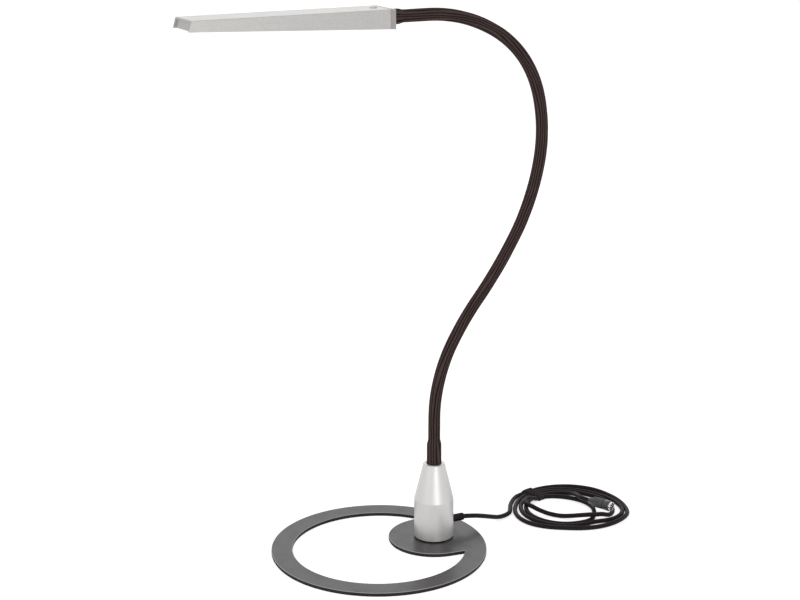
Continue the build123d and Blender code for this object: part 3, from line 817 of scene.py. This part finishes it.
def wrap_loop(inset):
    """Ring round the bundle as (distance, height), its top following the cords under it."""
    inner = wrap_inner + inset
    outer = wrap_outer - inset
    top = wrap_top - inset
    corner = wrap_corner - inset
    low = wrap_low + inset / 4
    across = []
    for i in range(49):
        d = outer - corner + (inner - outer + 2 * corner) * i / 48
        lump_turn = 2 * math.pi * (d - wrap_lump_place) / wrap_lump_pitch
        across.append((d, top + wrap_lump * math.cos(lump_turn)))
    turns = (0.4, 0.8, 1.2, 1.57)
    end = [(inner + corner * (1 - math.sin(t)), top - corner * (1 - math.cos(t))) for t in turns]
    foot = [(inner + wrap_foot_inset, low), (outer - wrap_foot_inset, low)]
    start = [(outer + inner - d, z) for d, z in reversed(end)]
    return across + end + foot + start


def make_wrap():
    """Wide soft wrap round the cords of the bundle."""
    outside = wrap_loop(0)
    inside = wrap_loop(wrap_thickness)
    count = len(outside)
    steps = 12
    points = []
    for i in range(steps + 1):
        turn = tie_angle - wrap_first - (wrap_last - wrap_first) * i / steps
        swell = wrap_swell * math.sin(math.pi * i / steps)
        points += [coil_point(turn, d, z + swell) for d, z in outside]
        points += [coil_point(turn, d, z) for d, z in inside]
    faces = []
    for i in range(steps):
        for shift in (0, count):
            for j in range(count):
                a = 2 * count * i + shift + j
                b = 2 * count * i + shift + (j + 1) % count
                faces.append((a, b, b + 2 * count, a + 2 * count))
    for first in (0, 2 * count * steps):
        for j in range(count):
            k = (j + 1) % count
            faces.append((first + j, first + k, first + count + k, first + count + j))
    wrap = shaped("tie_wrap", "tie_plastic", [(points, faces)], 50)
    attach(wrap, "base")
    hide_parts("coil_tie")
    return wrap


def make_boot():
    """Ribbed boot where the cord leaves the column."""
    profile = boot_shape[:4]
    for at in boot_grooves:
        profile += [(at + along, radius) for along, radius in boot_groove_shape]
    profile += boot_shape[4:]
    start = Vector((0, 0, cord_exit[2]))
    boot = shaped("boot", "boot_rubber", [turned_shape(start, Vector((1, 0, 0)), profile)])
    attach(boot, "base")
    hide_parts("cord_boot")


connector = make_connector()
wrap = make_wrap()
make_boot()


# Arm
def way(heading):
    """Unit vector in the arm's plane, at this angle from +Z towards +X."""
    return Vector((math.sin(heading), 0, math.cos(heading)))


def arm_place(distance):
    """Point and heading of the arm at a distance from the column's top."""
    point = Vector((0, 0, column_top))
    heading = 0.0
    left = distance
    for length, bend in zip(link_lengths, link_bends):
        step = min(max(left, 0.0), length)
        half = math.radians(bend) * step / length / 2
        chord = step * math.sin(half) / half if half else step
        point = point + way(heading + half) * chord
        heading += 2 * half
        left -= step
    return point + way(heading) * left if distance > 0 else point + way(0) * distance, heading


def arm_line():
    """Centreline of the arm and of what runs on into the column and the head."""
    step = 0.001
    count = int((cable_end - cable_start) / step) + 2
    points = [arm_place(cable_start + i * step)[0] for i in range(count)]
    mesh = bpy.data.meshes.new("arm_line")
    mesh.from_pydata(points, [(i, i + 1) for i in range(count - 1)], [])
    return mesh


def tube_tree():
    """Tube along a line, with lengthwise ribs that wander and a wider part at each end."""
    tree = bpy.data.node_groups.new("tube_along_line", "GeometryNodeTree")
    sockets(
        tree,
        [
            ("Line", "INPUT", "Geometry", None),
            ("Start", "INPUT", "Float", 0.0),
            ("End", "INPUT", "Float", 0.1),
            ("Line Start", "INPUT", "Float", 0.0),
            ("Rings", "INPUT", "Int", 60),
            ("Sides", "INPUT", "Int", 24),
            ("Radius", "INPUT", "Float", 0.006),
            ("Wide Radius", "INPUT", "Float", 0.006),
            ("Foot Wide End", "INPUT", "Float", -1.0),
            ("Head Wide Start", "INPUT", "Float", 2.0),
            ("Taper", "INPUT", "Float", 0.004),
            ("Rib Count", "INPUT", "Int", 0),
            ("Rib Depth", "INPUT", "Float", 0.0),
            ("Rib Wander", "INPUT", "Float", 0.0),
            ("Finish", "INPUT", "Material", None),
            ("Tube", "OUTPUT", "Geometry", None),
        ],
    )
    start = tree.nodes.new("NodeGroupInput")
    given = start.outputs
    sides = calc(tree, "ADD", given["Sides"], 1)
    grid = node(
        tree,
        "GeometryNodeMeshGrid",
        {"Size X": 1.0, "Size Y": 1.0, "Vertices X": given["Rings"], "Vertices Y": sides},
    )
    spot = node(tree, "ShaderNodeSeparateXYZ", {0: node(tree, "GeometryNodeInputPosition").outputs[0]})
    along = calc(tree, "ADD", spot.outputs[0], 0.5)
    turn = calc(tree, "ADD", spot.outputs[1], 0.5)
    length = calc(tree, "SUBTRACT", given["End"], given["Start"])
    distance = calc(tree, "MULTIPLY_ADD", along, length, given["Start"])
    angle = calc(tree, "MULTIPLY", turn, 2 * math.pi)
    cosine = calc(tree, "COSINE", angle)
    sine = calc(tree, "SINE", angle)

    at = join(tree, cosine, sine, calc(tree, "DIVIDE", distance, rib_wander_length))
    wander = node(tree, "ShaderNodeTexNoise", {"Vector": at, "Scale": 0.7, "Detail": 1.0}).outputs[0]
    shift = calc(tree, "MULTIPLY", calc(tree, "SUBTRACT", wander, 0.5), given["Rib Wander"])
    phase = calc(tree, "MULTIPLY_ADD", calc(tree, "MULTIPLY", given["Rib Count"], 0.5), angle, shift)
    ridge = calc(tree, "POWER", calc(tree, "ABSOLUTE", calc(tree, "COSINE", phase)), rib_sharpness)
    groove = calc(tree, "SUBTRACT", 1.0, ridge)
    other_at = vector_calc(tree, "ADD", at, (7.0, 3.0, 5.0))
    other = node(tree, "ShaderNodeTexNoise", {"Vector": other_at, "Scale": 1.6, "Detail": 1.0}).outputs[0]
    depth = calc(tree, "MULTIPLY", given["Rib Depth"], calc(tree, "MULTIPLY_ADD", other, 1.3, 0.3))

    foot_end = calc(tree, "ADD", given["Foot Wide End"], given["Taper"])
    foot = node(
        tree,
        "ShaderNodeMapRange",
        {0: distance, 1: given["Foot Wide End"], 2: foot_end, 3: 1.0, 4: 0.0},
        interpolation_type="SMOOTHSTEP",
    )
    head_start = calc(tree, "SUBTRACT", given["Head Wide Start"], given["Taper"])
    head = node(
        tree,
        "ShaderNodeMapRange",
        {0: distance, 1: head_start, 2: given["Head Wide Start"], 3: 0.0, 4: 1.0},
        interpolation_type="SMOOTHSTEP",
    )
    wide = calc(tree, "MAXIMUM", foot.outputs[0], head.outputs[0])
    extra = calc(tree, "MULTIPLY", calc(tree, "SUBTRACT", given["Wide Radius"], given["Radius"]), wide)
    outer = calc(tree, "ADD", given["Radius"], extra)
    radius = calc(tree, "SUBTRACT", outer, calc(tree, "MULTIPLY", depth, groove))

    curve = node(tree, "GeometryNodeMeshToCurve", {0: given["Line"]}).outputs[0]
    sample = node(
        tree,
        "GeometryNodeSampleCurve",
        {"Curves": curve, "Length": calc(tree, "SUBTRACT", distance, given["Line Start"])},
        mode="LENGTH",
        use_all_curves=True,
    )
    side = join(tree, 0.0, 1.0, 0.0)
    across = vector_calc(tree, "CROSS_PRODUCT", side, sample.outputs["Tangent"])
    out_side = vector_calc(tree, "SCALE", side, cosine)
    out_across = vector_calc(tree, "SCALE", across, sine)
    outwards = vector_calc(tree, "ADD", out_side, out_across)
    out = vector_calc(tree, "SCALE", outwards, radius)
    moved = vector_calc(tree, "ADD", sample.outputs["Position"], out)

    uv = node(
        tree,
        "GeometryNodeStoreNamedAttribute",
        {"Geometry": grid.outputs[0], "Name": "UVMap", "Value": join(tree, turn, distance, 0.0)},
        data_type="FLOAT2",
        domain="CORNER",
    )
    marked = node(
        tree,
        "GeometryNodeStoreNamedAttribute",
        {"Geometry": uv.outputs[0], "Name": "groove", "Value": groove},
        data_type="FLOAT",
        domain="POINT",
    )
    placed = node(tree, "GeometryNodeSetPosition", {"Geometry": marked.outputs[0], "Position": moved})
    seam = {"Geometry": placed.outputs[0], "Distance": seam_distance}
    merged = node(tree, "GeometryNodeMergeByDistance", seam)
    smooth = node(tree, "GeometryNodeSetShadeSmooth", {"Geometry": merged.outputs[0]})
    real = node(tree, "GeometryNodeRealizeInstances", {"Geometry": smooth.outputs[0]})
    made = node(tree, "GeometryNodeSetMaterial", {"Geometry": real.outputs[0], "Material": given["Finish"]})
    node(tree, "NodeGroupOutput", {"Tube": made.outputs[0]})
    return tree


def grown(name, mesh, tree, values, slot):
    """Plain mesh piece from a geometry tree with its inputs set by name."""
    maker = bpy.data.objects.new(name + "_maker", mesh)
    bpy.context.scene.collection.objects.link(maker)
    modifier = maker.modifiers.new("tree", "NODES")
    modifier.node_group = tree
    given = [item for item in tree.interface.items_tree if item.in_out == "INPUT"]
    identifiers = {item.name: item.identifier for item in given}
    for key, value in values.items():
        modifier[identifiers[key]] = value
    modifier[identifiers["Finish"]] = finishes[slot]
    depsgraph = bpy.context.evaluated_depsgraph_get()
    made = bpy.data.meshes.new_from_object(maker.evaluated_get(depsgraph))
    made.name = name
    bpy.data.objects.remove(maker)
    return keep(name, made, slot)


line = arm_line()
along_line = tube_tree()
joint_distances = [sum(link_lengths[: k + 1]) for k in range(len(link_lengths) - 1)]
middles = [(a + b) / 2 for a, b in zip(joint_distances, joint_distances[1:])]
breaks = [joint_distances[0] - end_reach, *middles, joint_distances[-1] + end_reach]


def arm_tube(name, start, end, slot, node_name, ends, **shape):
    """Tube along the whole arm: pieces at the foot and the head, and one over each hinge, curved along the
    arm.
    """
    places = [start, *breaks, end]
    for k, (first, last) in enumerate(zip(places, places[1:])):
        values = {
            "Start": first,
            "End": last,
            "Line Start": cable_start,
            "Rings": max(3, round((last - first) / shape["ring_step"]) + 1),
            "Sides": shape["sides"],
            "Radius": shape["radius"],
            **shape.get("more", {}),
        }
        piece = grown(f"{name}_{k}", line, along_line, values, slot)
        if k == 0:
            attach(piece, "base")
            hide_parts(f"{node_name}_1", *ends[0])
        elif k == len(places) - 2:
            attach(piece, "head")
            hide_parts(f"{node_name}_{len(link_lengths)}", *ends[1])
        else:
            point, heading = arm_place(joint_distances[k - 1])
            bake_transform(piece)
            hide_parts(f"{node_name}_{k}", f"{node_name}_{k + 1}")


sleeve_shape = {
    "Wide Radius": sleeve_bulge_radius,
    "Foot Wide End": foot_bulge_end,
    "Head Wide Start": head_bulge_start,
    "Taper": bulge_taper,
    "Rib Count": sleeve_rib_count,
    "Rib Depth": sleeve_rib_depth,
    "Rib Wander": sleeve_rib_wander,
}
arm_tube(
    "sleeve",
    -sleeve_in_mouth,
    head_face,
    "sleeve",
    "sleeve",
    [["lower_ferrule"], ["upper_ferrule"]],
    radius=sleeve_radius,
    ring_step=0.0012,
    sides=104,
    more=sleeve_shape,
)
head_point, head_turn = arm_place(head_face)
end_band = shaped("end_band", "sleeve_end", [turned_shape(head_point, way(head_turn), end_band_shape)])
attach(end_band, "head")
arm_tube(
    "gooseneck",
    gooseneck_start,
    gooseneck_end,
    "gooseneck",
    "conduit",
    [[], []],
    radius=gooseneck_radius,
    ring_step=0.003,
    sides=24,
)
arm_tube(
    "arm_cable",
    cable_start,
    cable_end,
    "cord_jacket",
    "arm_cable",
    [[], []],
    radius=cable_radius,
    ring_step=0.005,
    sides=12,
)


# Floor, world and lamps
def make_stage():
    """Plain pale floor that keeps the shadow."""
    mesh = bpy.data.meshes.new("floor")
    corners = [(-floor_reach, -floor_reach, 0), (floor_reach, -floor_reach, 0)]
    corners += [(floor_reach, floor_reach, 0), (-floor_reach, floor_reach, 0)]
    mesh.from_pydata(corners, [], [(0, 1, 2, 3)])
    floor = bpy.data.objects.new("floor", mesh)
    bpy.context.scene.collection.objects.link(floor)
    material, tree, shader, where = bare_material("floor")
    shader.inputs["Base Color"].default_value = (floor_white, floor_white, floor_white, 1)
    shader.inputs["Roughness"].default_value = 0.9
    shader.inputs["Specular IOR Level"].default_value = 0.1
    path = tree.nodes.new("ShaderNodeLightPath")
    seen = calc(tree, "MAXIMUM", path.outputs["Is Camera Ray"], path.outputs["Is Glossy Ray"])
    seen = calc(tree, "MAXIMUM", seen, path.outputs["Is Transmission Ray"])
    shader.inputs["Emission Color"].default_value = (1, 1, 1, 1)
    tree.links.new(calc(tree, "MULTIPLY", seen, floor_glow), shader.inputs["Emission Strength"])
    mesh.materials.append(material)


def make_world():
    """Even studio light, white wherever the camera or a gloss sees it."""
    world = bpy.data.worlds.new("studio")
    bpy.context.scene.world = world
    world.use_nodes = True
    tree = world.node_tree
    background = tree.nodes["Background"]
    path = tree.nodes.new("ShaderNodeLightPath")
    seen = calc(tree, "MAXIMUM", path.outputs["Is Camera Ray"], path.outputs["Is Glossy Ray"])
    seen = calc(tree, "MAXIMUM", seen, path.outputs["Is Transmission Ray"])
    level = node(tree, "ShaderNodeMix", {0: seen, 2: world_level, 3: 1.0}, data_type="FLOAT").outputs[0]
    background.inputs["Color"].default_value = (1, 1, 1, 1)
    tree.links.new(level, background.inputs["Strength"])


def make_lamp(name, place, target, size, power):
    """Soft square studio light."""
    data = bpy.data.lights.new(name, "AREA")
    data.size = size
    data.energy = power
    lamp = bpy.data.objects.new(name, data)
    bpy.context.scene.collection.objects.link(lamp)
    lamp.location = place
    lamp.rotation_mode = "QUATERNION"
    lamp.rotation_quaternion = (Vector(target) - Vector(place)).to_track_quat("-Z", "Y")


make_stage()
make_world()
make_lamp("key_light", (-0.3, -2.0, 0.5), (0, 0, 0.1), 1.0, 8)
make_lamp("side_light", (-2.1, -0.7, 1.2), (0, 0, 0.2), 1.2, 8)
make_lamp("top_light", (0.75, 1.8, 1.5), (-0.15, 0, 0.5), 1.3, 4.5)
bpy.context.scene.view_settings.view_transform = "Standard"
